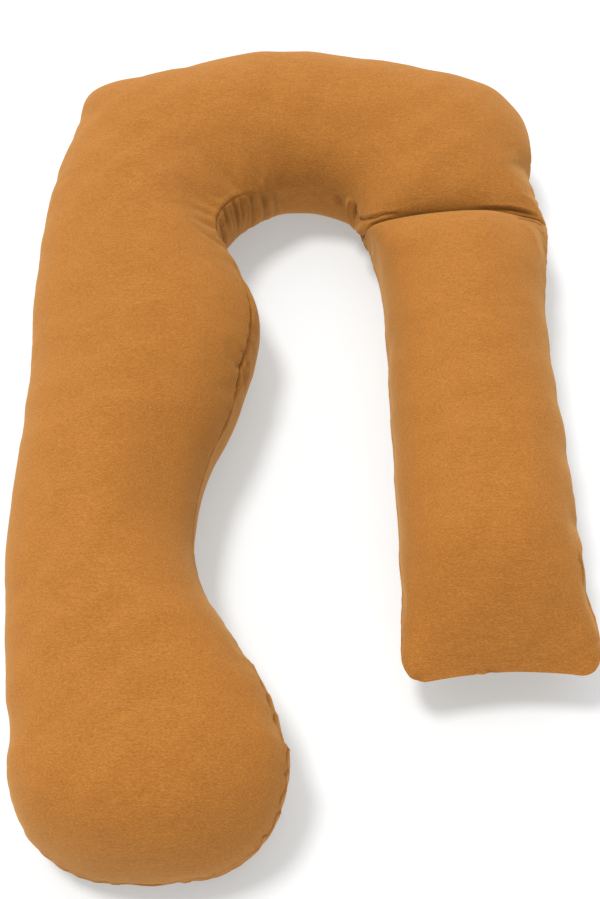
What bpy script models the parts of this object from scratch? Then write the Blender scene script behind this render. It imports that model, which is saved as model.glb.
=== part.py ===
"""A U-shaped pregnancy pillow, lying on its back: one filled cloth solid.

The pillow is a stuffed tube of two cloth panels, sewn together along a seam that runs all the way
round. Its long arm ends in a wide round foot, its head bends over to the other side, and its short
arm hinges on a creased line across the shoulder. Units are metres, +Z is up, the foot points to -Y.
"""

import math
from collections import namedtuple

import bmesh
import bpy
import numpy as np

# Driving sizes

FOOT_LENGTH = 0.155  # from the foot's widest line to its tip
FOOT_LEAN = 0.001  # how far its tip lies to the outer side
FOOT_SQUARENESS = 2.4  # 2 would be a half circle in plan
FOOT_SAG = 0.36  # how far its seam sinks towards the tip, as a share of the thickness
END_CORNER = 0.035  # corner radius of the short arm's sewn end
END_HOLLOW = 0.012  # how far the sewn end draws in between its corners
END_TAPER = 0.21  # length over which the short arm thins to its end seam
END_SAG = 0.08  # how far the seam sinks towards the end, as a share of the thickness

SEAM_SHARE = 0.53  # the seam's height, as a share of the pillow's thickness
CROWN_SQUARENESS = 2.1  # the upper panel's section, where 2 would be an ellipse
SIDE_SQUARENESS = 3.6  # the lower panel's section, squarer as the pillow sits on it
SINK = 0.014  # how far the filling is pressed flat by the surface below
SEAM_DRAW = 0.005  # how far the seam draws the cloth in

CREASE_DEPTH = 0.62  # share of the crown's height lost at the shoulder crease
CREASE_LIFT = 0.50  # share of the lower panel's depth lost there
CREASE_ARM_SIDE = 0.065  # length of the arm's rounded lip
CREASE_HEAD_SIDE = 0.105  # length of the head's slope down to the crease

GATHER_PITCH = 0.025  # spacing of the gathers on the wall of the inner bend
GATHER_DEPTH = 0.0045
GATHER_SPAN = 0.075  # half the length of seam that they cover

SEGMENTS = 36  # points round each section
FOOT_RINGS = 9
END_RINGS = 6

# One row for each section, from the foot, up the long arm, over the head and down the short arm.
# outer and inner are the two seam points in plan, thick is the height of the crown above the
# surface, and rings is how many rings of points lie between this row and the next.
Section = namedtuple("Section", "outer_x outer_y inner_x inner_y thick rings")
LONG_ARM = [
    Section(-0.368, -0.550, -0.012, -0.560, 0.200, 2),
    Section(-0.378, -0.490, -0.039, -0.490, 0.202, 3),
    Section(-0.389, -0.420, -0.081, -0.420, 0.203, 3),
    Section(-0.398, -0.350, -0.127, -0.350, 0.200, 3),
    Section(-0.406, -0.275, -0.149, -0.275, 0.196, 3),
    Section(-0.407, -0.200, -0.147, -0.200, 0.196, 3),
    Section(-0.405, -0.130, -0.131, -0.130, 0.198, 3),
    Section(-0.403, -0.060, -0.102, -0.055, 0.200, 3),
    Section(-0.403, 0.010, -0.076, 0.010, 0.202, 3),
    Section(-0.407, 0.070, -0.066, 0.070, 0.203, 3),
    Section(-0.411, 0.140, -0.065, 0.130, 0.202, 3),
    Section(-0.412, 0.205, -0.088, 0.188, 0.200, 3),
]
HEAD = [
    Section(-0.412, 0.270, -0.109, 0.232, 0.198, 4),
    Section(-0.406, 0.350, -0.120, 0.266, 0.196, 4),
    Section(-0.394, 0.430, -0.120, 0.294, 0.194, 4),
    Section(-0.377, 0.510, -0.109, 0.322, 0.192, 4),
    Section(-0.357, 0.579, -0.093, 0.347, 0.190, 4),
    Section(-0.287, 0.611, -0.073, 0.365, 0.190, 4),
    Section(-0.205, 0.634, -0.050, 0.378, 0.190, 3),
    Section(-0.120, 0.661, -0.026, 0.385, 0.190, 3),
    Section(-0.030, 0.671, 0.000, 0.387, 0.190, 3),
    Section(0.060, 0.665, 0.024, 0.386, 0.190, 3),
    Section(0.150, 0.647, 0.048, 0.378, 0.190, 3),
    Section(0.243, 0.622, 0.068, 0.368, 0.190, 3),
    Section(0.325, 0.592, 0.083, 0.356, 0.190, 3),
    Section(0.370, 0.542, 0.091, 0.344, 0.190, 3),
    Section(0.386, 0.475, 0.096, 0.333, 0.188, 4),
    Section(0.381, 0.405, 0.100, 0.322, 0.186, 5),
    Section(0.388, 0.340, 0.103, 0.304, 0.186, 5),
]
SHORT_ARM = [
    Section(0.399, 0.300, 0.107, 0.290, 0.186, 5),
    Section(0.395, 0.265, 0.117, 0.262, 0.188, 4),
    Section(0.388, 0.220, 0.127, 0.218, 0.190, 3),
    Section(0.381, 0.160, 0.133, 0.160, 0.190, 3),
    Section(0.377, 0.080, 0.135, 0.080, 0.190, 3),
    Section(0.381, -0.020, 0.136, -0.020, 0.190, 4),
    Section(0.385, -0.140, 0.138, -0.140, 0.190, 4),
    Section(0.390, -0.260, 0.140, -0.260, 0.188, 3),
    Section(0.396, -0.345, 0.140, -0.345, 0.185, 3),
    Section(0.401, -0.417, 0.133, -0.428, 0.178, 0),
]
CREASE_ROW = len(LONG_ARM) + len(HEAD)  # the short arm's first section
GATHER_ROW = len(LONG_ARM) + 3  # where the gathers are deepest

CLOTH_COLOR = (0.50, 0.235, 0.062, 1.0)  # mustard jersey
CLOTH_ROUGHNESS = 0.9


def through_rows(rows):
    """Rings on a smooth curve through the table's rows, as (columns, row number of each ring)."""
    table = np.array([row[:5] for row in rows])
    padded = np.vstack([2 * table[0] - table[1], table, 2 * table[-1] - table[-2]])
    rings, places = [], []
    for i, row in enumerate(rows[:-1]):
        before, start, end, after = padded[i : i + 4]
        for t in np.arange(row.rings) / row.rings:
            bend_in = (end - before) / 2 * (t - 2 * t**2 + t**3)
            bend_out = (after - start) / 2 * (t**3 - t**2)
            ease = t * t * (3 - 2 * t)
            rings.append(start * (1 - ease) + end * ease + bend_in + bend_out)
            places.append(i + t)
    rings.append(table[-1])
    places.append(len(rows) - 1)
    return np.array(rings), np.array(places)


def rounding(distance, length, squareness=2.1):
    """0 at a rounded end and 1 from length onwards, with the slope of a round edge."""
    left = 1 - np.clip(distance / length, 0, 1)
    return (1 - left**squareness) ** (1 / squareness)


def foot_rings(first):
    """Rings that close the long arm, from the tip of the foot to just short of its widest section."""
    outer, inner, thick = first[0:2], first[2:4], first[4]
    middle, half = (outer + inner) / 2, (inner - outer) / 2
    rings = []
    for i in range(1, FOOT_RINGS):
        angle = math.pi / 2 * i / FOOT_RINGS
        reach = math.cos(angle) ** (2 / FOOT_SQUARENESS)
        share = math.sin(angle) ** (2 / FOOT_SQUARENESS)
        centre = middle - np.array([FOOT_LEAN, FOOT_LENGTH]) * reach
        rings.append([*(centre - half * share), *(centre + half * share), thick, share, 0])
    return rings


def end_rings(last):
    """Rings that close the short arm with rounded corners, from its last section to the end seam."""
    outer, inner, thick = last[0:2], last[2:4], last[4]
    middle, half = (outer + inner) / 2, (inner - outer) / 2
    width = np.linalg.norm(half)
    rings = []
    for i in range(1, END_RINGS + 1):
        angle = math.pi / 2 * i / END_RINGS
        drop = END_CORNER * math.sin(angle)
        share = 1 - END_CORNER * (1 - math.cos(angle)) / width
        centre = middle - np.array([0, drop])
        hollow = END_HOLLOW * math.sin(angle)
        rings.append([*(centre - half * share), *(centre + half * share), thick, 1, hollow])
    return rings


def crease(along, at):
    """How far each ring is drawn in by the shoulder crease: 1 on its line and 0 away from it."""
    head_side = 1 - rounding(at - along, CREASE_HEAD_SIDE)
    arm_side = 1 - rounding(along - at, CREASE_ARM_SIDE)
    return np.where(along < at, head_side, arm_side)


def lengths_along(points):
    """The distance of each point from the first, along the line through them."""
    steps = np.linalg.norm(np.diff(points, axis=0), axis=1)
    return np.concatenate([[0], np.cumsum(steps)])


def pillow_points():
    """The pillow's rings of points, as an array of rings x SEGMENTS x 3."""
    body, places = through_rows(LONG_ARM + HEAD + SHORT_ARM)
    body = [[*ring, 1, 0] for ring in body]
    foot, end = foot_rings(np.array(body[0])), end_rings(np.array(body[-1]))
    rings = np.array(foot + body + end)
    places = np.concatenate([np.full(len(foot), -1), places, np.full(len(end), 99)])

    outer, inner = rings[:, 0:2], rings[:, 2:4]
    middle, half = (outer + inner) / 2, (inner - outer) / 2
    along, inner_along = lengths_along(middle), lengths_along(inner)
    crease_at = along[np.flatnonzero(places == CREASE_ROW)[0]]
    gather_at = inner_along[np.flatnonzero(places == GATHER_ROW)[0]]

    thick, foot_share, hollow = rings[:, 4], rings[:, 5], rings[:, 6]
    end_share = np.clip((along[-1] - along) / END_TAPER, 0, 1)
    swell = foot_share * np.sin(math.pi / 2 * end_share)
    pinch = crease(along, crease_at)
    foot_reach = (1 - foot_share**FOOT_SQUARENESS) ** (1 / FOOT_SQUARENESS)
    end_reach = 1 - end_share**2 * (3 - 2 * end_share)
    seam = (SEAM_SHARE - FOOT_SAG * foot_reach**1.5 - END_SAG * end_reach) * thick
    crown = (thick - seam) * swell * (1 - CREASE_DEPTH * pinch)
    depth = (seam + SINK) * swell * (1 - CREASE_LIFT * pinch)

    from_gathers = (inner_along - gather_at) / GATHER_SPAN
    gathers = np.cos(2 * math.pi * (inner_along - gather_at) / GATHER_PITCH)
    gathers = GATHER_DEPTH * gathers * np.exp(-(from_gathers**2) * 2)

    points = np.zeros((len(rings), SEGMENTS, 3))
    for j in range(SEGMENTS):
        angle = 2 * math.pi * j / SEGMENTS
        side = -math.cos(angle)
        on_seam = j % (SEGMENTS // 2) == 0
        upper = 0 < j < SEGMENTS / 2
        squareness = CROWN_SQUARENESS if upper else SIDE_SQUARENESS
        arch = max(0.0, 1 - abs(side) ** squareness) ** (1 / squareness)
        on_wall = max(0.0, side) ** 4 * (0.35 if upper else 1) * (0.3 + 0.7 * arch)
        drawn = side * SEAM_DRAW * swell * on_seam
        pull = (gathers * on_wall + drawn) / np.linalg.norm(half, axis=1)
        points[:, j, 0:2] = middle + half * (side - pull)[:, None]
        points[:, j, 1] += hollow * (1 - side**2)
        points[:, j, 2] = seam + (crown if upper else -depth) * arch
    points[:, :, 2] = np.maximum(points[:, :, 2], 0)
    return points


def centred(points, tip):
    """The points and the foot's tip, moved so that the origin is under the middle of the pillow."""
    every = np.vstack([points.reshape(-1, 3), tip])
    shift = (every.min(axis=0) + every.max(axis=0)) / 2
    shift[2] = 0
    return points - shift, tip - shift


def pillow_mesh():
    """One closed mesh: rings joined by quads, a point at the foot and a flat seam at the arm's end."""
    points = pillow_points()
    first = LONG_ARM[0]
    tip = np.array(
        [
            (first.outer_x + first.inner_x) / 2 - FOOT_LEAN,
            (first.outer_y + first.inner_y) / 2 - FOOT_LENGTH,
            (SEAM_SHARE - FOOT_SAG) * first.thick,
        ]
    )
    points, tip = centred(points, tip)

    bm = bmesh.new()
    rings = [[bm.verts.new(p) for p in ring] for ring in points]
    tip_vert = bm.verts.new(tip)
    for j in range(SEGMENTS):
        bm.faces.new((tip_vert, rings[0][j], rings[0][j - 1]))
    for near, far in zip(rings[:-1], rings[1:]):
        for j in range(SEGMENTS):
            bm.faces.new((near[j - 1], near[j], far[j], far[j - 1]))
    end = rings[-1]
    bmesh.ops.remove_doubles(bm, verts=end, dist=0.0001)
    bmesh.ops.recalc_face_normals(bm, faces=bm.faces)
    bmesh.ops.triangulate(bm, faces=bm.faces)

    mesh = bpy.data.meshes.new("pillow")
    bm.to_mesh(mesh)
    bm.free()
    mesh.shade_smooth()
    return mesh


def cloth_material():
    """Mustard cotton jersey."""
    material = bpy.data.materials.new("jersey")
    material.use_nodes = True
    shader = material.node_tree.nodes["Principled BSDF"]
    shader.inputs["Base Color"].default_value = CLOTH_COLOR
    shader.inputs["Roughness"].default_value = CLOTH_ROUGHNESS
    shader.inputs["Metallic"].default_value = 0.0
    return material


for old in list(bpy.data.objects):
    bpy.data.objects.remove(old)

pillow = bpy.data.objects.new("pillow", pillow_mesh())
pillow.data.materials.append(cloth_material())
bpy.context.scene.collection.objects.link(pillow)
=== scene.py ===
# %% [markdown]
# # A pregnancy pillow in mustard jersey
#
# This is a long stuffed tube of cloth, bent into a U. Two panels of cotton jersey are cut to the
# same outline and sewn together all the way round, so a seam runs along both sides at mid height.
# The long arm swells into a round foot, the head bends over, and the short arm hinges on a creased
# line across the shoulder. The lesson builds the cloth as one fine surface, lets a cloth simulation
# settle it over its filling, then sews in the creases, and dresses it in a heathered knit.

import math
from collections import namedtuple

import bmesh
import bpy
import numpy as np
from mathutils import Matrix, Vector


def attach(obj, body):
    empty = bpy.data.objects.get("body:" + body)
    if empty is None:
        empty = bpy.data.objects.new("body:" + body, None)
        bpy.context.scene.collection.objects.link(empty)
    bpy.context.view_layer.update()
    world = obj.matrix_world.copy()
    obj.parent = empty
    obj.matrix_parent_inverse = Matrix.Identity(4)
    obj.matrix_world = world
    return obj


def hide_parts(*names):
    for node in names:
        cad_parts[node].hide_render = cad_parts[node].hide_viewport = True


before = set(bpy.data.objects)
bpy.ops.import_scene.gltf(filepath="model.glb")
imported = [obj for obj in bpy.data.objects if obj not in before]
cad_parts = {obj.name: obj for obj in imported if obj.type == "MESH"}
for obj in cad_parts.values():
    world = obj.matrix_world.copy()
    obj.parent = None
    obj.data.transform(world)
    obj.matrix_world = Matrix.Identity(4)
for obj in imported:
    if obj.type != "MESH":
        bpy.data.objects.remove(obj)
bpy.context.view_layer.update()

# %% [markdown]
# ## Camera
#
# The pillow lies on its back, and the photo looks down on it from the foot end, about 60 degrees
# below the horizon. That tilt is why the near foot looks larger and why the inner wall of the head
# shows. A 50 mm lens at about 1.95 m gives the same narrowing from foot to head.

# %% Place the camera
CAMERA_PLACE = (0.0052, -0.9994, 1.67)
CAMERA_TILT = math.radians(30)  # from straight down towards the horizon

camera_data = bpy.data.cameras.new("camera")
camera_data.lens = 50
camera_data.sensor_width = 36
camera_data.clip_end = 100
camera = bpy.data.objects.new("camera", camera_data)
camera.location = CAMERA_PLACE
camera.rotation_euler = (CAMERA_TILT, 0, 0)
bpy.context.scene.collection.objects.link(camera)
bpy.context.scene.camera = camera
print("the camera is", round(camera.location.length, 2), "m from the middle of the pillow")

# %% [markdown]
# ## Studio
#
# Catalogue pillows lie on a white sweep of paper, which goes pure white where the light is full. The
# paper is one large square. To the camera it is plain white with a faint glow. To the pillow it
# sends back a more even light, so the low sides keep their colour where the floor is in shadow.

# %% Floor
FLOOR_SIZE = 30
PAPER_WHITE = (0.74, 0.74, 0.74, 1)  # as the camera sees the sweep
PAPER_GLOW = (0.26, 0.26, 0.26, 1)
BOUNCE_WHITE = (0.50, 0.50, 0.50, 1)  # what it sends back to the pillow, more even than it looks
BOUNCE_GLOW = (0.56, 0.56, 0.56, 1)
PAPER_TONES = (
    ("Base Color", BOUNCE_WHITE, PAPER_WHITE),
    ("Emission Color", BOUNCE_GLOW, PAPER_GLOW),
)

half_floor = FLOOR_SIZE / 2
ways = ((-1, -1), (1, -1), (1, 1), (-1, 1))
corners = [(x_way * half_floor, y_way * half_floor, 0) for x_way, y_way in ways]
floor_mesh = bpy.data.meshes.new("floor")
floor_mesh.from_pydata(corners, [], [(0, 1, 2, 3)])
floor = bpy.data.objects.new("floor", floor_mesh)
bpy.context.scene.collection.objects.link(floor)

paper = bpy.data.materials.new("studio_paper")
paper.use_nodes = True
paper_shader = paper.node_tree.nodes["Principled BSDF"]
paper_path = paper.node_tree.nodes.new("ShaderNodeLightPath")
for socket, sent, seen in PAPER_TONES:
    paper_tone = paper.node_tree.nodes.new("ShaderNodeMix")
    paper_tone.data_type = "RGBA"
    paper_tone.inputs["A"].default_value = sent
    paper_tone.inputs["B"].default_value = seen
    paper.node_tree.links.new(paper_path.outputs["Is Camera Ray"], paper_tone.inputs["Factor"])
    paper.node_tree.links.new(paper_tone.outputs["Result"], paper_shader.inputs[socket])
paper_shader.inputs["Emission Strength"].default_value = 1.0
paper_shader.inputs["Roughness"].default_value = 1.0
paper_shader.inputs["Specular IOR Level"].default_value = 0.0
floor.data.materials.append(paper)
print("the sweep is", FLOOR_SIZE, "m wide")

# %% [markdown]
# ## Lights
#
# A sun lamp with a wide disc stands in for the softbox, because its light is even over the whole
# floor. It hangs overhead, a little behind the head and to the left, so the shadow falls to the
# right and towards the foot. The world gives the rest: a bright side behind the head, like a large
# window, and a white card low in front of the foot. Both fade into a dim white all round, which
# fills the shadows.

# %% Key light
KEY_TURN = (math.radians(-14), math.radians(-19), 0)
KEY_STRENGTH = 1.62
KEY_SOFTNESS = math.radians(15)
key_data = bpy.data.lights.new("softbox", "SUN")
key_data.energy = KEY_STRENGTH
key_data.angle = KEY_SOFTNESS
key = bpy.data.objects.new("softbox", key_data)
key.rotation_euler = KEY_TURN
bpy.context.scene.collection.objects.link(key)
print("the key light's strength is", key_data.energy)

# %% Window and card
FILL_STRENGTH = 0.27
WINDOW_STRENGTH = 1.42
WINDOW_WAY = (-0.18, 0.94, 0.29)
CARD_STRENGTH = 0.50
CARD_WAY = (0.10, -0.97, 0.22)
CARD_EDGE = 0.3  # where the card's light begins, as the cosine from its middle

world = bpy.data.worlds.new("studio")
world.use_nodes = True
world_nodes, world_links = world.node_tree.nodes, world.node_tree.links
sky = world_nodes["Background"]
sky.inputs["Color"].default_value = (1, 0.995, 0.99, 1)
way = world_nodes.new("ShaderNodeTexCoord")
facing = world_nodes.new("ShaderNodeVectorMath")
facing.operation = "DOT_PRODUCT"
facing.inputs[1].default_value = Vector(WINDOW_WAY).normalized()
glow = world_nodes.new("ShaderNodeMapRange")
glow.inputs["From Min"].default_value = 0.0
glow.inputs["From Max"].default_value = 1.0
glow.inputs["To Min"].default_value = FILL_STRENGTH
glow.inputs["To Max"].default_value = WINDOW_STRENGTH
world_links.new(way.outputs["Generated"], facing.inputs[0])
world_links.new(facing.outputs["Value"], glow.inputs["Value"])
card = world_nodes.new("ShaderNodeVectorMath")
card.operation = "DOT_PRODUCT"
card.inputs[1].default_value = Vector(CARD_WAY).normalized()
card_glow = world_nodes.new("ShaderNodeMapRange")
card_glow.interpolation_type = "SMOOTHSTEP"
card_glow.inputs["From Min"].default_value = CARD_EDGE
card_glow.inputs["From Max"].default_value = 1.0
card_glow.inputs["To Max"].default_value = CARD_STRENGTH
both = world_nodes.new("ShaderNodeMath")
world_links.new(way.outputs["Generated"], card.inputs[0])
world_links.new(card.outputs["Value"], card_glow.inputs["Value"])
world_links.new(glow.outputs["Result"], both.inputs[0])
world_links.new(card_glow.outputs["Result"], both.inputs[1])
world_links.new(both.outputs["Value"], sky.inputs["Strength"])
bpy.context.scene.world = world
bpy.context.scene.view_settings.view_transform = "Standard"
print("the world shines from", FILL_STRENGTH, "to", WINDOW_STRENGTH)

# %% [markdown]
# ## The pattern
#
# A maker starts from a paper outline. Each row below is one rung across the tube: its outer and
# inner seam points in plan, the height of its crown, and how far up the wall the seam rides on each
# side. A smooth curve through the rows gives every ring between them. Numbers in a short table are
# easier to correct against a real pillow than a sculpted mesh is.

# %% Table of sections
Section = namedtuple("Section", "outer_x outer_y inner_x inner_y thick outer_lift inner_lift rings")
LONG_ARM = [
    Section(-0.370, -0.550, -0.012, -0.560, 0.200, 0.004, 0.018, 2),
    Section(-0.380, -0.490, -0.038, -0.490, 0.202, 0.004, 0.022, 3),
    Section(-0.389, -0.420, -0.081, -0.420, 0.203, 0.004, 0.012, 3),
    Section(-0.398, -0.350, -0.127, -0.350, 0.200, 0.008, 0.000, 3),
    Section(-0.406, -0.275, -0.149, -0.275, 0.196, 0.000, 0.000, 3),
    Section(-0.407, -0.200, -0.147, -0.200, 0.196, 0.000, 0.004, 3),
    Section(-0.405, -0.130, -0.131, -0.130, 0.198, 0.000, 0.002, 3),
    Section(-0.403, -0.060, -0.099, -0.055, 0.200, 0.000, 0.008, 3),
    Section(-0.403, 0.010, -0.080, 0.010, 0.202, 0.000, 0.027, 3),
    Section(-0.407, 0.070, -0.066, 0.070, 0.203, 0.000, 0.029, 3),
    Section(-0.411, 0.140, -0.065, 0.130, 0.202, 0.000, 0.038, 3),
    Section(-0.412, 0.205, -0.088, 0.188, 0.200, 0.000, 0.034, 3),
]
HEAD = [
    Section(-0.412, 0.270, -0.112, 0.232, 0.198, 0.000, 0.034, 4),
    Section(-0.406, 0.350, -0.126, 0.264, 0.196, 0.000, 0.036, 4),
    Section(-0.394, 0.430, -0.123, 0.290, 0.194, 0.000, 0.038, 4),
    Section(-0.377, 0.510, -0.108, 0.316, 0.192, 0.000, 0.036, 4),
    Section(-0.361, 0.577, -0.089, 0.339, 0.190, 0.000, 0.030, 4),
    Section(-0.287, 0.611, -0.069, 0.358, 0.190, 0.000, 0.018, 4),
    Section(-0.205, 0.634, -0.048, 0.373, 0.190, 0.000, 0.008, 3),
    Section(-0.120, 0.661, -0.026, 0.385, 0.190, 0.000, 0.000, 3),
    Section(-0.030, 0.671, 0.000, 0.387, 0.190, 0.000, 0.000, 3),
    Section(0.060, 0.665, 0.024, 0.386, 0.190, 0.000, 0.000, 3),
    Section(0.150, 0.647, 0.048, 0.378, 0.190, 0.000, 0.000, 3),
    Section(0.243, 0.622, 0.068, 0.368, 0.190, 0.000, 0.000, 3),
    Section(0.325, 0.592, 0.083, 0.356, 0.190, 0.000, 0.000, 3),
    Section(0.370, 0.542, 0.091, 0.344, 0.190, 0.000, 0.000, 3),
    Section(0.386, 0.475, 0.096, 0.333, 0.188, 0.000, -0.010, 4),
    Section(0.381, 0.405, 0.100, 0.322, 0.186, 0.000, -0.030, 5),
    Section(0.388, 0.340, 0.103, 0.304, 0.186, 0.000, -0.040, 5),
]
SHORT_ARM = [
    Section(0.399, 0.300, 0.107, 0.290, 0.186, 0.000, -0.045, 5),
    Section(0.395, 0.265, 0.117, 0.262, 0.188, 0.000, -0.045, 4),
    Section(0.388, 0.220, 0.127, 0.218, 0.190, 0.000, -0.040, 3),
    Section(0.381, 0.160, 0.133, 0.160, 0.190, 0.000, -0.034, 3),
    Section(0.377, 0.080, 0.135, 0.080, 0.190, 0.000, -0.022, 3),
    Section(0.381, -0.020, 0.136, -0.020, 0.190, 0.000, -0.022, 4),
    Section(0.386, -0.140, 0.138, -0.140, 0.190, 0.000, -0.022, 4),
    Section(0.387, -0.260, 0.140, -0.260, 0.188, 0.004, -0.020, 3),
    Section(0.393, -0.345, 0.140, -0.345, 0.185, -0.010, -0.014, 3),
    Section(0.410, -0.414, 0.132, -0.425, 0.178, -0.006, -0.006, 0),
]
ROWS = LONG_ARM + HEAD + SHORT_ARM
CREASE_ROW = len(LONG_ARM) + len(HEAD)
PLAN_MIDDLE = np.array([-0.0052, -0.0206])  # of the table's outline
print(len(ROWS), "sections, the shoulder crease at row", CREASE_ROW)

# %% [markdown]
# ## From rows to rings
#
# A Hermite curve passes through each row and keeps the slope from its neighbours, so the outline
# has no corners. The foot is closed by shorter and shorter rungs up to its tip, as a round cushion
# end is, and the short arm by a straight seam with two soft corners. A ring has the first seven
# numbers of a row, then its width as a share of the full one, and how far its middle is drawn in.

# %% Rings through the table
RINGS_PER_STEP = 2


def rings_through(rows):
    """Rings on a smooth curve through the table's rows, and each ring's place in the table."""
    table = np.array([row[:7] for row in rows])
    padded = np.vstack([2 * table[0] - table[1], table, 2 * table[-1] - table[-2]])
    rings, places = [], []
    for i, row in enumerate(rows[:-1]):
        before, start, end, after = padded[i : i + 4]
        for t in np.arange(row.rings * RINGS_PER_STEP) / (row.rings * RINGS_PER_STEP):
            ease = t * t * (3 - 2 * t)
            bend = (end - before) / 2 * (t - 2 * t**2 + t**3) + (after - start) / 2 * (t**3 - t**2)
            rings.append(start * (1 - ease) + end * ease + bend)
            places.append(i + t)
    return np.array(rings + [table[-1]]), np.array(places + [len(rows) - 1])


body_rings, body_places = rings_through(ROWS)
body_rings = [[*ring, 1, 0] for ring in body_rings]
print(len(body_rings), "rings in the body")

# %% Foot and end of the arm
FOOT_LENGTH = 0.155
FOOT_LEAN = 0.008
FOOT_SQUARENESS = 2.4
FOOT_RINGS = 20
END_CORNER = 0.035
END_HOLLOW = 0.009
END_RINGS = 12


def foot_rings(first):
    """Rungs that shorten to a point at the tip of the foot."""
    middle, half = (first[0:2] + first[2:4]) / 2, (first[2:4] - first[0:2]) / 2
    rings = []
    for i in range(1, FOOT_RINGS):
        angle = math.pi / 2 * i / FOOT_RINGS
        reach, share = math.cos(angle) ** (2 / FOOT_SQUARENESS), math.sin(angle) ** (2 / FOOT_SQUARENESS)
        centre = middle - np.array([FOOT_LEAN, FOOT_LENGTH]) * reach
        lifts = first[5:7] * (1 - reach)
        rings.append([*(centre - half * share), *(centre + half * share), first[4], *lifts, share, 0])
    return rings


def end_rings(last):
    """Rungs round the two corners of the short arm, up to its end seam."""
    middle, half = (last[0:2] + last[2:4]) / 2, (last[2:4] - last[0:2]) / 2
    width = np.linalg.norm(half)
    rings = []
    for i in range(1, END_RINGS + 1):
        angle = math.pi / 2 * i / END_RINGS
        share = 1 - END_CORNER * (1 - math.cos(angle)) / width
        centre = middle - np.array([0, END_CORNER * math.sin(angle)])
        hollow_and_painted_shade = END_HOLLOW * math.sin(angle)
        rings.append([*(centre - half * share), *(centre + half * share), *last[4:7], 1, hollow_and_painted_shade])
    return rings


foot, end = foot_rings(np.array(body_rings[0])), end_rings(np.array(body_rings[-1]))
rings = np.array(foot + body_rings + end)
foot_places = -1 + np.arange(1, FOOT_RINGS) / FOOT_RINGS
end_places = len(ROWS) - 1 + np.arange(1, END_RINGS + 1) / END_RINGS
places = np.concatenate([foot_places, body_places, end_places])
print(len(rings), "rings")

# %% [markdown]
# ## The section of a stuffed tube
#
# Pressure makes cloth round, and the pillow's own weight flattens what it lies on. So the upper
# half of each section is close to an ellipse, a little squarer, and the lower half is squarer
# still, cut off level by the surface. Three small helpers come first.

# %% Lengths and smooth steps
def lengths_along(points):
    """The distance of each point from the first, along the line through them."""
    return np.concatenate([[0], np.cumsum(np.linalg.norm(np.diff(points, axis=0), axis=1))])


def rounding(distance, length, squareness=2.1):
    """0 at a rounded edge and 1 from length onwards."""
    left = 1 - np.clip(distance / length, 0, 1)
    return (1 - left**squareness) ** (1 / squareness)


def smooth(x, low, high):
    """0 below low, 1 above high, and a smooth ramp between."""
    t = np.clip((np.asarray(x, float) - low) / (high - low), 0, 1)
    return t * t * (3 - 2 * t)


print("a quarter of the way, the smooth step is at", float(smooth(0.25, 0, 1)))

# %% [markdown]
# ## Heights along the tube
#
# The crown rises over the seam and the lower half hangs under it. Both shrink at the shoulder
# crease and towards the arm's end seam, and the seam itself sinks at the tip of the foot, where the
# cushion is rounded from above.

# %% Crown, depth and seam of each ring
SEAM_SHARE = 0.53  # the seam's height, as a share of the thickness
SINK = 0.014  # how far the round lower half would reach below the surface
END_TAPER = 0.21
END_SAG = 0.08  # how far the seam sinks at the arm's end, as a share of the thickness
FOOT_SAG = 0.36  # and towards the tip of the foot
CREASE_DEPTH = 0.62
CREASE_LIFT = 0.50
CREASE_ARM_SIDE = 0.065
CREASE_HEAD_SIDE = 0.125
SHOULDER_START = (-0.02, 0.01)  # metres past the crease, where the boxy shoulder begins
SHOULDER_STOP = (0.03, 0.11)  # and where it has gone again

outer, inner = rings[:, 0:2], rings[:, 2:4]
middle, half = (outer + inner) / 2, (inner - outer) / 2
along, inner_along, outer_along = lengths_along(middle), lengths_along(inner), lengths_along(outer)
crease_at = np.interp(CREASE_ROW, places, along)
pinch = np.where(
    along < crease_at,
    1 - rounding(crease_at - along, CREASE_HEAD_SIDE),
    1 - rounding(along - crease_at, CREASE_ARM_SIDE),
)
swell = rings[:, 7] * np.sin(math.pi / 2 * np.clip((along[-1] - along) / END_TAPER, 0, 1))
foot_reach = (1 - rings[:, 7] ** FOOT_SQUARENESS) ** (1 / FOOT_SQUARENESS)
end_reach = 1 - smooth(along[-1] - along, 0, END_TAPER)
seam_height = (SEAM_SHARE - FOOT_SAG * foot_reach**1.5 - END_SAG * end_reach) * rings[:, 4]
shoulder_begun = smooth(along, crease_at + SHOULDER_START[0], crease_at + SHOULDER_START[1])
shoulder_gone = smooth(along, crease_at + SHOULDER_STOP[0], crease_at + SHOULDER_STOP[1])
shoulder = shoulder_begun * (1 - shoulder_gone)
crown = (rings[:, 4] - seam_height) * swell * (1 - CREASE_DEPTH * pinch)
depth = (seam_height + SINK) * swell * (1 - CREASE_LIFT * pinch)
print("the crown stands up to", round(float((crown + seam_height).max()), 3), "m high")

# %% [markdown]
# ## The points of a ring
#
# Each ring is drawn as two half sections and then walked along, so its points lie on the cloth at
# steps that are closer together at the two seams, where the puckers will be.

# %% Points round each ring
CROWN_SQUARENESS = 2.1
SIDE_SQUARENESS = 3.6
SHOULDER_INNER, SHOULDER_OUTER = 3.8, 1.75  # squareness of the crown beside the crease
SHOULDER_SLOPE = 0.32
PANEL_POINTS = 42  # across each panel, from seam to seam
SEAM_CROWDING = 0.6


def section_curve(outer_squareness, inner_squareness, count=360):
    """A unit half section from the outer seam over to the inner one: how far across, how far out."""
    angle = np.linspace(0, math.pi, count)
    power = 2 / np.where(angle < math.pi / 2, outer_squareness, inner_squareness)
    across = -np.sign(np.cos(angle)) * np.abs(np.cos(angle)) ** power
    return across, np.abs(np.sin(angle)) ** power


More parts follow.
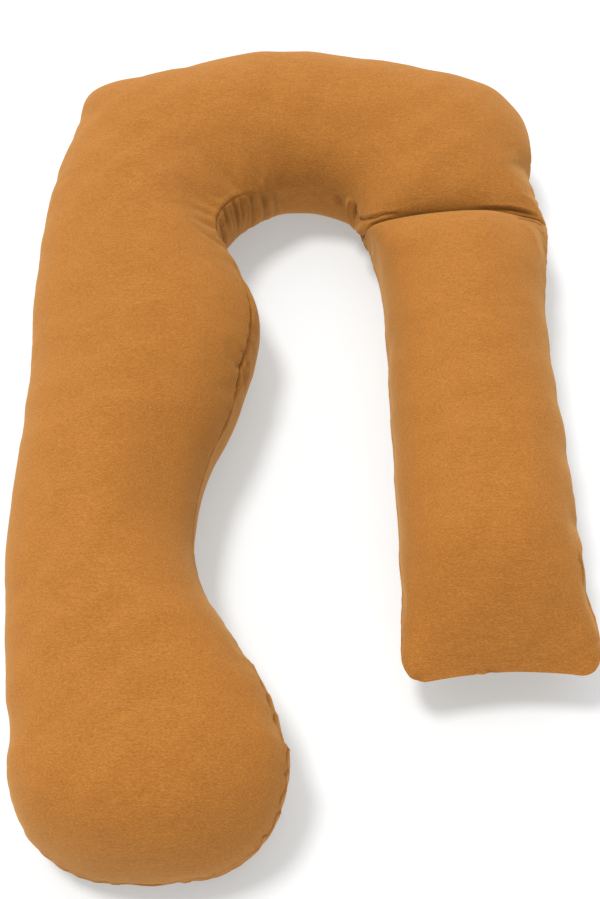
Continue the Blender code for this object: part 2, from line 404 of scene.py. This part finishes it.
def ring_points(i):
    """The points of ring i, panel by panel: the upper from outer to inner seam, then the lower."""
    width = np.linalg.norm(half[i])
    boxy = np.array([SHOULDER_OUTER, SHOULDER_INNER])
    squareness = CROWN_SQUARENESS + shoulder[i] * (boxy - CROWN_SQUARENESS)
    up_across, up_out = section_curve(*squareness)
    up_out = up_out * (1 - SHOULDER_SLOPE * shoulder[i] * np.maximum(up_across, 0))
    low_across, low_out = section_curve(SIDE_SQUARENESS, SIDE_SQUARENESS)
    across = np.concatenate([up_across, low_across[-2::-1]])
    height = np.concatenate([up_out * crown[i], -low_out[-2::-1] * depth[i]])
    height = np.maximum(height, -seam_height[i])
    walked = lengths_along(np.stack([across * width, height], 1))
    inner_line = walked[len(up_across) - 1]
    fade = min(1.0, swell[i] * 1.5)
    start, turn = rings[i, 5] * fade, inner_line - rings[i, 6] * fade
    u = np.arange(PANEL_POINTS) / PANEL_POINTS
    eased = u - SEAM_CROWDING * np.sin(2 * math.pi * u) / (2 * math.pi)
    wanted = np.concatenate([start + (turn - start) * eased, turn + (walked[-1] + start - turn) * eased])
    wanted = wanted % walked[-1]
    side, out = np.interp(wanted, walked, across), np.interp(wanted, walked, height)
    plan = middle[i] + half[i] * side[:, None]
    plan[:, 1] += rings[i, 8] * (1 - side**2)
    return np.column_stack([plan - PLAN_MIDDLE, out + seam_height[i]])


grid = np.array([ring_points(i) for i in range(len(rings))])
print("grid of", grid.shape[0], "rings by", grid.shape[1], "points")

# %% [markdown]
# ## One closed piece of cloth
#
# The rings are joined by quads, closed by a fan of triangles at the tip of the foot and folded flat
# at the arm's end seam. Each point also keeps two numbers, its place along the tube and its place
# round the section, as mesh attributes. Subdivision carries them along, so later steps can find the
# seam or a crease without counting points.

# %% Build the mesh
def closed_cloth(name, grid, places):
    """A closed mesh from rings of points, with attributes "place", "seam" and "inner_side"."""
    count, around = grid.shape[:2]
    bm = bmesh.new()
    place_layer = bm.verts.layers.float.new("place")
    seam_layer = bm.verts.layers.float.new("seam")
    inner_layer = bm.verts.layers.float.new("inner_side")
    verts = []
    for i, ring in enumerate(grid):
        row = []
        for j, point in enumerate(ring):
            v = bm.verts.new(point)
            v[place_layer] = places[i]
            v[seam_layer] = min(j % PANEL_POINTS, PANEL_POINTS - j % PANEL_POINTS)
            v[inner_layer] = 0.5 - 0.5 * math.cos(math.pi * j / PANEL_POINTS)
            row.append(v)
        verts.append(row)
    first = ROWS[0]
    tip_x = (first.outer_x + first.inner_x) / 2 - FOOT_LEAN
    tip_y = (first.outer_y + first.inner_y) / 2 - FOOT_LENGTH
    tip_z = (SEAM_SHARE - FOOT_SAG) * first.thick
    tip = bm.verts.new((tip_x - PLAN_MIDDLE[0], tip_y - PLAN_MIDDLE[1], tip_z))
    tip[place_layer] = -1
    for j in range(around):
        bm.faces.new((tip, verts[0][j], verts[0][j - 1]))
    for near, far in zip(verts[:-1], verts[1:]):
        for j in range(around):
            bm.faces.new((near[j - 1], near[j], far[j], far[j - 1]))
    for j in range(1, PANEL_POINTS):
        bmesh.ops.pointmerge(bm, verts=[verts[-1][j], verts[-1][-j]], merge_co=verts[-1][j].co)
    bmesh.ops.recalc_face_normals(bm, faces=bm.faces)
    mesh = bpy.data.meshes.new(name)
    bm.to_mesh(mesh)
    bm.free()
    return mesh


pillow = bpy.data.objects.new("pillow_cloth", closed_cloth("pillow_cloth", grid, places))
bpy.context.scene.collection.objects.link(pillow)
print(len(pillow.data.vertices), "points in the cloth")

# %% [markdown]
# ## Let the cloth settle
#
# A stuffed cover is held out from inside and held in by its seams. The cloth simulation does the
# same: pressure pushes outwards, the seams are a little shorter than the cloth beside them, and
# gravity is off because the filling carries the weight. The underside, the crease and the end seam
# are held where they are. Some places have cloth to spare, as on the real cover, such as the inner
# wall of the bend, and there the cloth gathers. This table says where, by rows of the outline.

# %% Where the cloth has slack
Slack = namedtuple("Slack", "from_row to_row side reach amount")
SLACK = [
    Slack(-1.0, 2.0, "inner", 14, 0.4),
    Slack(-1.0, 0.5, "outer", 10, 0.15),
    Slack(6.5, 11.0, "inner", 14, 0.35),
    Slack(11.5, 19.0, "inner", 16, 1.0),
    Slack(25.5, 31.5, "outer", 16, 0.7),
    Slack(26.5, 30.0, "inner", 12, 0.7),
    Slack(35.5, 38.0, "outer", 12, 0.6),
    Slack(36.5, 39.0, "inner", 12, 0.4),
]
SLACK_FADE = 0.8  # rows over which the spare cloth comes and goes
last_row = len(ROWS) - 1
print(len(SLACK), "places with slack")

# %% Read the cloth's numbers
def vertex_numbers(mesh, name):
    """A mesh attribute with one number per point, as an array."""
    values = np.zeros(len(mesh.vertices), np.float32)
    mesh.attributes[name].data.foreach_get("value", values)
    return values


def vertex_places(mesh):
    """The mesh's points as an array of x, y, z."""
    co = np.zeros(len(mesh.vertices) * 3, np.float32)
    mesh.vertices.foreach_get("co", co)
    return co.reshape(-1, 3).astype(float)


def slack_at(place, seam, inner_side):
    """How much cloth to spare there is at each point, 0 to 1, from the table."""
    total = np.zeros(len(place))
    for row in SLACK:
        begun = smooth(place, row.from_row - SLACK_FADE, row.from_row + SLACK_FADE / 2)
        gone = smooth(place, row.to_row - SLACK_FADE / 2, row.to_row + SLACK_FADE)
        side = inner_side if row.side == "inner" else 1 - inner_side
        near_seam = 1 - smooth(seam, row.reach * 0.5, row.reach)
        total = np.maximum(total, row.amount * (begun * (1 - gone)) * side * near_seam)
    return total


cloth_mesh = pillow.data
base_place, base_seam = vertex_numbers(cloth_mesh, "place"), vertex_numbers(cloth_mesh, "seam")
base_inner = vertex_numbers(cloth_mesh, "inner_side")
base_slack = slack_at(base_place, base_seam, base_inner)
print(int((base_slack > 0.1).sum()), "points have cloth to spare")

# %% [markdown]
# ## Run the simulation
#
# Twenty frames are enough for the folds to form. Only the folds are kept: a blurred copy of the
# movement is taken off, because the table already holds the filled shape, and without it the cushion
# would swell past its pattern. Tall folds are capped, so none stands up as a spike.

# %% Cloth simulation
SIM_FRAMES = 20
SIM_PRESSURE = 4.0
SHORTEST, LONGEST = 0.025, -0.06  # of the seams, and of the slackest cloth


def weight_group(piece, name, weights):
    """A vertex group with the given weight for each point."""
    group = piece.vertex_groups.new(name=name)
    rounded = np.round(weights, 2)
    for level in np.unique(rounded[rounded > 0]):
        group.add([int(i) for i in np.flatnonzero(rounded == level)], float(level), "REPLACE")


def settled_move(piece, slack):
    """How far each point of the cloth moves in the simulation."""
    mesh = piece.data
    start = vertex_places(mesh)
    held = 1 - smooth(start[:, 2], 0.001, 0.012)
    held = np.maximum(held, 1 - smooth(np.abs(base_place - CREASE_ROW), 0.3, 1.0))
    held = np.maximum(held, smooth(base_place, last_row + 0.4, last_row + 0.9))
    weight_group(piece, "held", held)
    even = LONGEST / (LONGEST - SHORTEST)
    weight_group(piece, "length", np.maximum(even * (1 - slack), 1 - base_seam / 3))
    modifier = piece.modifiers.new("cloth", "CLOTH")
    cloth = modifier.settings
    cloth.quality = 4
    cloth.mass = 0.25
    cloth.tension_stiffness = cloth.compression_stiffness = 20
    cloth.shear_stiffness = 4
    cloth.bending_stiffness = 0.3
    cloth.use_pressure = True
    cloth.uniform_pressure_force = SIM_PRESSURE
    cloth.vertex_group_mass = "held"
    cloth.vertex_group_shrink = "length"
    cloth.shrink_min, cloth.shrink_max = LONGEST, SHORTEST
    cloth.effector_weights.gravity = 0
    modifier.collision_settings.use_collision = False
    modifier.point_cache.frame_start, modifier.point_cache.frame_end = 1, SIM_FRAMES
    scene = bpy.context.scene
    for number in range(1, SIM_FRAMES + 1):
        scene.frame_set(number)
    settled = piece.evaluated_get(bpy.context.evaluated_depsgraph_get()).to_mesh()
    move = vertex_places(settled) - start
    piece.modifiers.remove(modifier)
    piece.vertex_groups.clear()
    scene.frame_set(1)
    return move


print("the simulation has", SIM_FRAMES, "frames")

# %% Keep the folds
FOLD_CAP = 0.009
BROAD = 6  # points over which the movement is blurred
FOLDS_EVERYWHERE, FOLDS_IN_SLACK = 0.25, 0.85


def spread(field, sigma, axis, closed):
    """Blurs a grid along one axis with a bell curve, over the ends of a closed one."""
    reach = int(3 * sigma)
    bell = np.exp(-(np.arange(-reach, reach + 1) ** 2) / (2 * sigma**2))
    bell /= bell.sum()
    pad = [(0, 0)] * field.ndim
    pad[axis] = (reach, reach)
    wide = np.pad(field, pad, mode="wrap" if closed else "edge")
    return sum(w * np.take(wide, np.arange(k, k + field.shape[axis]), axis) for k, w in enumerate(bell))


settled_grid = grid.copy()
start = vertex_places(cloth_mesh)
full_rings, around = len(grid) - 1, grid.shape[1]  # the last ring is folded into the end seam
in_rings = full_rings * around
move = settled_move(pillow, base_slack)[:in_rings].reshape(full_rings, around, 3)
broad = spread(spread(move, BROAD, 0, False), BROAD, 1, True)
folds = move - broad
strength = FOLDS_EVERYWHERE + FOLDS_IN_SLACK * base_slack[:in_rings].reshape(full_rings, around)
folds *= strength[:, :, None]
size = np.linalg.norm(folds, axis=2)
folds *= (FOLD_CAP * np.tanh(size / FOLD_CAP) / np.maximum(size, 1e-9))[:, :, None]
start[:in_rings] += folds.reshape(-1, 3)
start[:, 2] = np.maximum(start[:, 2], 0)
cloth_mesh.vertices.foreach_set("co", start.astype(np.float32).ravel())
cloth_mesh.update()
settled_grid[:-1] = start[:in_rings].reshape(folds.shape)
swelling = float(np.linalg.norm(broad, axis=2).mean())
print("the broad swelling taken off was", round(swelling * 1000, 1), "mm")
print("the folds stand", round(float(size.mean()) * 1000, 1), "mm high on average, before the cap")

# %% [markdown]
# ## Finer cloth
#
# One level of subdivision rounds off the quads and leaves about 5 mm between points.

# %% Subdivide
finer = pillow.modifiers.new("finer", "SUBSURF")
finer.levels = finer.render_levels = 1
bpy.context.view_layer.update()
fine_mesh = bpy.data.meshes.new_from_object(pillow.evaluated_get(bpy.context.evaluated_depsgraph_get()))
pillow.modifiers.clear()
pillow.data = fine_mesh
fine_mesh.shade_smooth()
print(len(fine_mesh.polygons), "quads")

# %% [markdown]
# ## Seams and creases
#
# The seam pulls a fine valley into the cloth, and beside it the cloth puckers a little, more where
# the outline is tightly curved. The larger creases are placed from a table: a crease follows a line
# on the surface, given by its place in the table of sections and the point number across, so it
# stays where it belongs when the outline changes. A depth below zero makes a ridge.

# %% Table of creases
Crease = namedtuple("Crease", "width depth path")
BEND_GATHERS = [
    Crease(0.0045, 0.0050, [(15.80, 42.5), (15.75, 46.0), (15.69, 53.0)]),
    Crease(0.0050, 0.0060, [(16.52, 42.0), (16.55, 46.0), (16.66, 55.0)]),
    Crease(0.0050, 0.0055, [(17.20, 42.0), (17.50, 47.0), (17.72, 55.0)]),
    Crease(0.0045, 0.0055, [(15.33, 42.0), (15.36, 47.0), (15.44, 54.0)]),
    Crease(0.0040, 0.0045, [(14.60, 41.5), (14.41, 48.0)]),
    Crease(0.0045, 0.0045, [(13.70, 43.0), (13.86, 48.3), (14.10, 54.0)]),
    Crease(0.0045, 0.0035, [(16.10, 43.0), (16.12, 53.0)]),
    Crease(0.0050, 0.0035, [(18.20, 42.5), (18.50, 54.0)]),
    Crease(0.0045, 0.0035, [(14.95, 43.0), (14.98, 51.0)]),
]
SHOULDER = [
    Crease(0.0055, -0.0095, [(23.90, 40.0), (24.05, 44.0), (24.35, 53.0)]),
    Crease(0.0035, 0.0080, [(24.95, 40.0), (25.30, 49.0)]),
    Crease(0.0090, 0.0035, [(22.70, 42.0), (22.85, 47.5)]),
    Crease(0.0090, -0.0080, [(25.60, 46.5), (27.30, 38.5), (28.60, 31.0)]),
    Crease(0.0030, 0.0040, [(25.40, 42.5), (27.30, 34.5), (28.53, 29.5), (28.90, 25.5)]),
    Crease(0.0032, 0.0055, [(28.86, 17.5), (28.80, 12.5), (28.84, 6.0)]),
    Crease(0.0032, 0.0052, [(29.00, 13.0), (29.02, 9.0), (29.05, 5.0)]),
    Crease(0.0030, 0.0058, [(29.75, 13.0), (29.50, 9.0), (29.30, 5.0)]),
    Crease(0.0030, 0.0050, [(26.10, 48.3), (27.60, 40.5), (28.90, 33.0)]),
    Crease(0.0070, -0.0025, [(29.96, 12.5), (30.50, 10.5), (31.30, 9.0)]),
]
PINCHES = [
    Crease(0.0030, 0.0018, [(8.27, 41.7), (8.40, 37.5)]),
    Crease(0.0030, 0.0015, [(8.10, 42.5), (7.85, 38.5)]),
    Crease(0.0030, 0.0035, [(8.27, 42.0), (8.10, 46.5)]),
    Crease(0.0060, 0.0060, [(7.90, 43.5), (7.78, 50.0)]),
    Crease(0.0028, 0.0060, [(36.40, 9.0), (36.60, 8.0), (36.90, 8.4)]),
    Crease(0.0040, 0.0020, [(38.60, 24.8), (38.95, 25.8)]),
    Crease(0.0040, 0.0020, [(38.60, 23.6), (38.98, 22.4)]),
    Crease(0.0050, 0.0020, [(38.50, 38.0), (38.90, 40.5)]),
]
HOLLOWS = [
    Crease(0.0450, 0.0060, [(6.60, 26.5), (4.80, 29.3), (3.20, 30.5)]),
]
CREASES = BEND_GATHERS + SHOULDER + PINCHES + HOLLOWS
print(len(CREASES), "creases")

# %% [markdown]
# ## How the seam is sewn
#
# The seam is tight where the outline curves sharply and slack where it runs straight. This table
# gives its puckers and the depth of its groove on both sides, by rows of the outline.

# %% Table of sewing
Sewing = namedtuple("Sewing", "place outer_pucker inner_pucker outer_groove inner_groove")
SEWING = [
    Sewing(-1.0, 3.4, 3.4, 1.0, 1.0),
    Sewing(-0.6, 2.0, 3.8, 1.0, 1.0),
    Sewing(-0.3, 0.7, 3.8, 0.8, 1.0),
    Sewing(0.2, 0.3, 3.2, 0.6, 1.0),
    Sewing(2.0, 0.2, 0.6, 0.6, 0.6),
    Sewing(6.0, 0.2, 0.5, 0.6, 0.8),
    Sewing(8.0, 0.2, 1.6, 0.6, 1.0),
    Sewing(10.0, 0.2, 0.5, 0.5, 1.0),
    Sewing(13.0, 0.2, 0.9, 0.5, 1.0),
    Sewing(15.5, 0.3, 0.9, 0.5, 0.9),
    Sewing(17.0, 0.4, 0.4, 0.5, 0.3),
    Sewing(18.5, 0.3, 0.2, 0.5, 0.0),
    Sewing(22.5, 0.2, 0.2, 0.5, 0.0),
    Sewing(24.0, 0.3, 0.2, 0.5, 0.4),
    Sewing(28.0, 0.5, 0.4, 0.5, 0.4),
    Sewing(31.0, 0.2, 0.3, 0.6, 0.6),
    Sewing(36.0, 0.5, 0.3, 0.6, 0.6),
    Sewing(39.0, 1.0, 1.0, 0.6, 0.6),
]
print(len(SEWING), "rows of sewing")

# %% [markdown]
# ## Lines on the cloth
#
# A crease is pressed in along a line. The line is found on the coarse grid, and each point of the
# fine cloth is pushed by how near it lies, in a bell-shaped valley with two soft lips. A ridge has
# no lips, and a crease fades out at both its ends.

# %% A crease along a line
CLOSED_WIDTH = 0.0036  # a narrower crease closes, and gets a painted line of shade
# how far the painted shade line of a closed crease reaches
FOLD_LINE_REACH = 0.004
LIP_HEIGHT = 0.28  # as a share of the crease's depth


def surface_line(path, surface):
    """Points on the cloth along a path of (place, across) pairs, eight steps to each stretch."""
    path = np.array(path)
    ring_numbers = np.interp(path[:, 0], places, np.arange(len(places)))
    steps = np.linspace(0, len(path) - 1, 8 * (len(path) - 1) + 1)
    ring_at = np.interp(steps, range(len(path)), ring_numbers)
    across_at = np.interp(steps, range(len(path)), path[:, 1])
    i, j = np.floor(ring_at).astype(int), np.floor(across_at).astype(int)
    i = np.minimum(i, len(surface) - 2)
    a, b = (ring_at - i)[:, None], (across_at - j)[:, None]
    k = surface.shape[1]
    near = surface[i, j % k] * (1 - b) + surface[i, (j + 1) % k] * b
    far = surface[i + 1, j % k] * (1 - b) + surface[i + 1, (j + 1) % k] * b
    return near * (1 - a) + far * a


def crease_push(points, line, width, depth):
    """How far a crease along the line pushes in each point, with soft lips, and its painted line of shade.
    """
    push, painted_fold_line = np.zeros(len(points)), np.zeros(len(points))
    margin = 4 * width
    near = np.flatnonzero(np.all((points > line.min(0) - margin) & (points < line.max(0) + margin), axis=1))
    if not len(near):
        return push, painted_fold_line
    best, where = np.full(len(near), 9.0), np.zeros(len(near))
    for n, (a, b) in enumerate(zip(line[:-1], line[1:])):
        t = np.clip((points[near] - a) @ (b - a) / max((b - a) @ (b - a), 1e-12), 0, 1)
        gap = np.linalg.norm(points[near] - a - t[:, None] * (b - a), axis=1)
        where = np.where(gap < best, (n + t) / (len(line) - 1), where)
        best = np.minimum(gap, best)
    fade = np.clip(np.sin(math.pi * where), 0, 1) ** 0.7
    valley = np.exp(-((best / width) ** 2))
    lips = LIP_HEIGHT * np.exp(-(((best - 2.0 * width) / (0.9 * width)) ** 2))
    push[near] = depth * fade * (valley - (lips if depth > 0 else 0))
    if width < CLOSED_WIDTH and depth > 0:
        painted_fold_line[near] = np.clip(1 - best / FOLD_LINE_REACH, 0, 1) * np.clip(1.6 * fade, 0, 1)
    return push, painted_fold_line


print("creases narrower than", CLOSED_WIDTH * 1000, "mm are closed")

# %% [markdown]
# ## Sew the seam
#
# The fine cloth is pushed along its normals, so "push" is how far each point goes in. The seam gives
# a narrow valley, and the puckers are an uneven wave along it that dies away from the seam. The two
# masks for the material say where to paint shade into the cloth's colour; the seam's also grooves it.

# %% Seam and puckers
SEAM_DEPTH = 0.0026
PUCKER_DEPTH = 0.0016
PUCKER_PITCH = 0.024
SEAM_SHADE = 0.45  # how dark the painted shade in the seam's valley is
VALLEY_WIDTH = 0.6  # this and the next five are counted in points from the seam, or in shares
LIP_AT, LIP_WIDTH, LIP_SHARE = 2.0, 0.9, 0.3
PUCKER_REACH, PUCKER_GAP, PUCKER_GAP_SHARE = 3.2, 0.8, 0.6
END_FADE = 0.6  # rows over which the seam fades into the end of the arm
fine_points = vertex_places(fine_mesh)
fine_normals = np.zeros(len(fine_mesh.vertices) * 3, np.float32)
fine_mesh.vertex_normals.foreach_get("vector", fine_normals)
fine_normals = fine_normals.reshape(-1, 3).astype(float)
place, seam = vertex_numbers(fine_mesh, "place"), vertex_numbers(fine_mesh, "seam")
on_inner = vertex_numbers(fine_mesh, "inner_side") > 0.5
run = np.where(on_inner, np.interp(place, places, inner_along), np.interp(place, places, outer_along))
sewing = Sewing(*np.array(SEWING).T)


def own_side(outer_values, inner_values):
    """The table's value at each point, from the column of its own side."""
    on_outer = np.interp(place, sewing.place, outer_values)
    return np.where(on_inner, np.interp(place, sewing.place, inner_values), on_outer)


def wobble(run, pitch, start):
    """An uneven wave along a seam, between about -1 and 1."""
    turns = 2 * math.pi * run / pitch
    main = 0.5 * np.sin(turns + start)
    quick = 0.3 * np.sin(1.63 * turns + 2.1 * start)
    slow = 0.25 * np.sin(0.57 * turns + 3.7 * start)
    return main + quick + slow


pucker = own_side(sewing.outer_pucker, sewing.inner_pucker)
groove = own_side(sewing.outer_groove, sewing.inner_groove)
ends = 1 - smooth(place, last_row, last_row + END_FADE)
valley = np.exp(-((seam / VALLEY_WIDTH) ** 2))
seam_lips = LIP_SHARE * np.exp(-(((seam - LIP_AT) / LIP_WIDTH) ** 2))
push = SEAM_DEPTH * groove * ends * (valley - seam_lips)
beside = np.exp(-seam / PUCKER_REACH) * (1 - PUCKER_GAP_SHARE * np.exp(-((seam / PUCKER_GAP) ** 2)))
push += PUCKER_DEPTH * pucker * ends * beside * wobble(run, PUCKER_PITCH, 1.3)
# painted shade: the bottom of the seam's valley is darkened in the colour
hollow_and_painted_shade = SEAM_SHADE * groove * ends * valley
# painted shade: a thin dark line in the seam's valley, which also makes a fine groove in the knit
painted_line_and_groove = np.clip(groove, 0, 1) * ends * np.clip(1 - seam, 0, 1)
print("the seam pushes in by up to", round(float(push.max()) * 1000, 1), "mm")

# %% [markdown]
# ## Press in the creases
#
# Deep creases lie in their own shadow, and that shade is painted into the cloth's colour. The
# shoulder's whole channel gets painted shade too. A wide crease is only a dent in the filling and gets
# no painted shade. Last come low lumps, which every stuffed thing has, made from two crossed waves.

# %% Creases and lumps
DARK_DEPTH = 0.008  # a crease this deep gets the full painted shade
WIDE_CREASE = 0.02
# how dark the painted shade in the shoulder's channel is
CHANNEL_SHADE = 0.7
CHANNEL_PINCH = (0.6, 0.95)  # how pinched the tube is where the channel's painted shade starts, and is darkest
CHANNEL_HEIGHTS = (0.02, 0.06)
LUMP_DEPTH = 0.0012
LUMP_HEIGHTS = (0.02, 0.08)  # the lumps fade in between these heights
for crease in CREASES:
    line = surface_line(crease.path, settled_grid)
    pressed, painted_fold_line = crease_push(fine_points, line, crease.width, crease.depth)
    push += pressed
    # painted shade: a narrow crease is darkened in the colour, the more the deeper it is
    if crease.width < WIDE_CREASE:
        hollow_and_painted_shade = np.maximum(hollow_and_painted_shade, pressed / DARK_DEPTH)
    painted_line_and_groove = np.maximum(painted_line_and_groove, painted_fold_line)
x, y, z = fine_points.T
# painted shade over the whole channel of the shoulder crease
channel = smooth(np.interp(place, places, pinch), *CHANNEL_PINCH) * smooth(z, *CHANNEL_HEIGHTS)
hollow_and_painted_shade = np.maximum(hollow_and_painted_shade, CHANNEL_SHADE * channel)
lumps = np.sin(23 * x + 9 * np.sin(7 * y)) * np.sin(19 * y + 5 * np.sin(11 * x) + 1.0)
lumps += 0.6 * np.sin(47 * x + 31 * y) * np.sin(39 * y - 17 * x)
push += LUMP_DEPTH * lumps * smooth(z, *LUMP_HEIGHTS)
print("the cloth is pushed in by up to", round(float(push.max()) * 1000, 1), "mm")

# %% Move the points
fine_points -= fine_normals * push[:, None]
fine_points[:, 2] = np.maximum(fine_points[:, 2], 0)
fine_mesh.vertices.foreach_set("co", fine_points.astype(np.float32).ravel())
fine_mesh.update()
for name, values in (("hollow_and_painted_shade", np.clip(hollow_and_painted_shade, 0, 1)), ("painted_line_and_groove", painted_line_and_groove)):
    layer = fine_mesh.attributes.new(name, "FLOAT", "POINT")
    layer.data.foreach_set("value", values.astype(np.float32))
print(int((hollow_and_painted_shade > 0.5).sum()), "points lie in a dark crease")

# %% [markdown]
# ## Jersey
#
# The cover is a heathered cotton jersey, knitted from yarn that is spun from lighter and darker
# mustard fibres. From a step away it reads as short flecks that run along the courses of the knit,
# across the pillow. The knit is matte, and its fuzz lightens it a little where it turns away. Three
# sizes of noise give the flecks, the longer thick places in the yarn, and the cloudy unevenness of a
# dyed cloth. They are drawn in the metres of the pillow itself, so they do not stretch.

# %% Helpers for nodes

def stretched_noise(nodes, links, vector, size, detail, name):
    """Noise with grains of the given size in metres."""
    mapping = nodes.new("ShaderNodeMapping")
    mapping.inputs["Scale"].default_value = [1 / v for v in size]
    noise = nodes.new("ShaderNodeTexNoise")
    noise.label = name
    noise.inputs["Scale"].default_value = 1.0
    noise.inputs["Detail"].default_value = detail
    noise.inputs["Roughness"].default_value = 0.55
    links.new(vector, mapping.inputs["Vector"])
    links.new(mapping.outputs["Vector"], noise.inputs["Vector"])
    return noise.outputs["Fac"]


def joined(nodes, links, operation, first, second):
    """The result of a maths node; either input may be a number."""
    node = nodes.new("ShaderNodeMath")
    node.operation = operation
    for socket, value in zip(node.inputs, (first, second)):
        if isinstance(value, float):
            socket.default_value = value
        else:
            links.new(value, socket)
    return node.outputs["Value"]


# %% [markdown]
# ## The knit as a node group
#
# The knit is one group with named inputs and outputs, so another cushion can use it. The three
# noises are added by their shares and turned into yarn colours by a ramp. Painted shade in the hollows
# and in a thin line along the seam and closed creases multiplies the colour down, for their own shadow.

# %% Heathered knit
FLECK_SIZE, FLECK_SHARE = (0.0038, 0.0014, 0.0014), 0.68
SLUB_SIZE, SLUB_SHARE = (0.020, 0.0022, 0.0022), 0.21
CLOUD_SIZE, CLOUD_SHARE = (0.030, 0.018, 0.018), 0.11
DARK_YARN = (0.340, 0.126, 0.021, 1)
MID_YARN = (0.461, 0.175, 0.030, 1)
LIGHT_YARN = (0.591, 0.235, 0.047, 1)
DARK_STOP, MID_STOP, LIGHT_STOP = 0.30, 0.50, 0.70
PAINTED_SHADE_TONE = (0.42, 0.34, 0.26, 1)  # painted shade: what a crease's shadow multiplies the yarn's colour by
# how strongly the painted shade darkens the yarn
PAINTED_SHADE_SHARE = 0.75
PAINTED_LINE_RANGE = (0.62, 0.92)  # where the painted shade line along the seam starts and is darkest


def heather_group():
    """A node group for heathered knit, with painted shade in its hollows and along its seam."""
    group = bpy.data.node_groups.new("heathered_knit", "ShaderNodeTree")
    face = group.interface
    face.new_socket("Vector", in_out="INPUT", socket_type="NodeSocketVector")
    face.new_socket("PaintedShade", in_out="INPUT", socket_type="NodeSocketFloat")
    face.new_socket("Seam", in_out="INPUT", socket_type="NodeSocketFloat")
    face.new_socket("Color", in_out="OUTPUT", socket_type="NodeSocketColor")
    face.new_socket("Height", in_out="OUTPUT", socket_type="NodeSocketFloat")
    nodes, links = group.nodes, group.links
    given, result = nodes.new("NodeGroupInput"), nodes.new("NodeGroupOutput")
    vector = given.outputs["Vector"]
    flecks = stretched_noise(nodes, links, vector, FLECK_SIZE, 2.0, "flecks")
    slubs = stretched_noise(nodes, links, vector, SLUB_SIZE, 1.0, "slubs")
    clouds = stretched_noise(nodes, links, vector, CLOUD_SIZE, 2.0, "clouds")
    small = joined(nodes, links, "MULTIPLY", flecks, FLECK_SHARE)
    longer = joined(nodes, links, "MULTIPLY", slubs, SLUB_SHARE)
    broad = joined(nodes, links, "MULTIPLY", clouds, CLOUD_SHARE)
    heather = joined(nodes, links, "ADD", joined(nodes, links, "ADD", small, longer), broad)
    ramp = nodes.new("ShaderNodeValToRGB")
    stops = ramp.color_ramp.elements
    stops[0].position, stops[0].color = DARK_STOP, DARK_YARN
    stops[1].position, stops[1].color = LIGHT_STOP, LIGHT_YARN
    stops.new(MID_STOP).color = MID_YARN
    links.new(heather, ramp.inputs["Fac"])
    shaded = nodes.new("ShaderNodeMix")
    shaded.data_type = "RGBA"
    shaded.blend_type = "MULTIPLY"
    shaded.inputs["B"].default_value = PAINTED_SHADE_TONE
    # painted shade: a thin dark line along the seam and closed creases, which also lowers the knit's height
    painted_line_ramp = nodes.new("ShaderNodeMapRange")
    painted_line_ramp.interpolation_type = "SMOOTHSTEP"
    painted_line_ramp.inputs["From Min"].default_value, painted_line_ramp.inputs["From Max"].default_value = PAINTED_LINE_RANGE
    links.new(given.outputs["Seam"], painted_line_ramp.inputs["Value"])
    painted_line_and_groove_mask = painted_line_ramp.outputs["Result"]
    # painted shade from the hollows and from the line along the seam, together
    dark = joined(nodes, links, "MAXIMUM", given.outputs["PaintedShade"], painted_line_and_groove_mask)
    links.new(joined(nodes, links, "MULTIPLY", dark, PAINTED_SHADE_SHARE), shaded.inputs["Factor"])
    links.new(ramp.outputs["Color"], shaded.inputs["A"])
    links.new(shaded.outputs["Result"], result.inputs["Color"])
    links.new(joined(nodes, links, "SUBTRACT", heather, painted_line_and_groove_mask), result.inputs["Height"])
    return group


knit_group = heather_group()
print("the knit group has", len(knit_group.nodes), "nodes")

# %% [markdown]
# ## The jersey itself
#
# The material places the group and gives its height to a Bump node, so the flecks catch the light.
# Light that bounces off the cloth carries only part of its orange, because the white floor beside
# it should stay as neutral as in a catalogue picture.

# %% Jersey
CAST_TONE = (0.30, 0.24, 0.18, 1)  # the colour of the light that the cloth sends on
KNIT_HEIGHT = 0.0012
jersey = bpy.data.materials.new("jersey")
jersey.use_nodes = True
nodes, links = jersey.node_tree.nodes, jersey.node_tree.links
shader = nodes["Principled BSDF"]
knit = nodes.new("ShaderNodeGroup")
knit.node_tree = knit_group
where = nodes.new("ShaderNodeTexCoord")
# the painted shade from the mesh goes into the knit group
for name, socket in (("hollow_and_painted_shade", "PaintedShade"), ("painted_line_and_groove", "Seam")):
    pressed_in = nodes.new("ShaderNodeAttribute")
    pressed_in.attribute_name = name
    links.new(pressed_in.outputs["Fac"], knit.inputs[socket])
relief = nodes.new("ShaderNodeBump")
relief.inputs["Strength"].default_value = 0.6
relief.inputs["Distance"].default_value = KNIT_HEIGHT
links.new(where.outputs["Object"], knit.inputs["Vector"])
links.new(knit.outputs["Height"], relief.inputs["Height"])
path = nodes.new("ShaderNodeLightPath")
tone = nodes.new("ShaderNodeMix")
tone.data_type = "RGBA"
tone.inputs["B"].default_value = CAST_TONE
links.new(path.outputs["Is Diffuse Ray"], tone.inputs["Factor"])
links.new(knit.outputs["Color"], tone.inputs["A"])
links.new(tone.outputs["Result"], shader.inputs["Base Color"])
links.new(relief.outputs["Normal"], shader.inputs["Normal"])
shader.inputs["Roughness"].default_value = 0.9
shader.inputs["Specular IOR Level"].default_value = 0.2
shader.inputs["Sheen Weight"].default_value = 0.32
shader.inputs["Sheen Roughness"].default_value = 0.5
shader.inputs["Sheen Tint"].default_value = (1.0, 0.70, 0.30, 1)
print("the jersey's roughness is", round(shader.inputs["Roughness"].default_value, 2))

# %% [markdown]
# ## Dress the pillow
#
# The jersey goes on, the piece stays with the root body, and it stands in for the plain solid, which is
# hidden.

# %% Dress the pillow
pillow.data.materials.append(jersey)

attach(pillow, "root")
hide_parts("pillow")
print("the pillow is dressed in", pillow.data.materials[0].name)
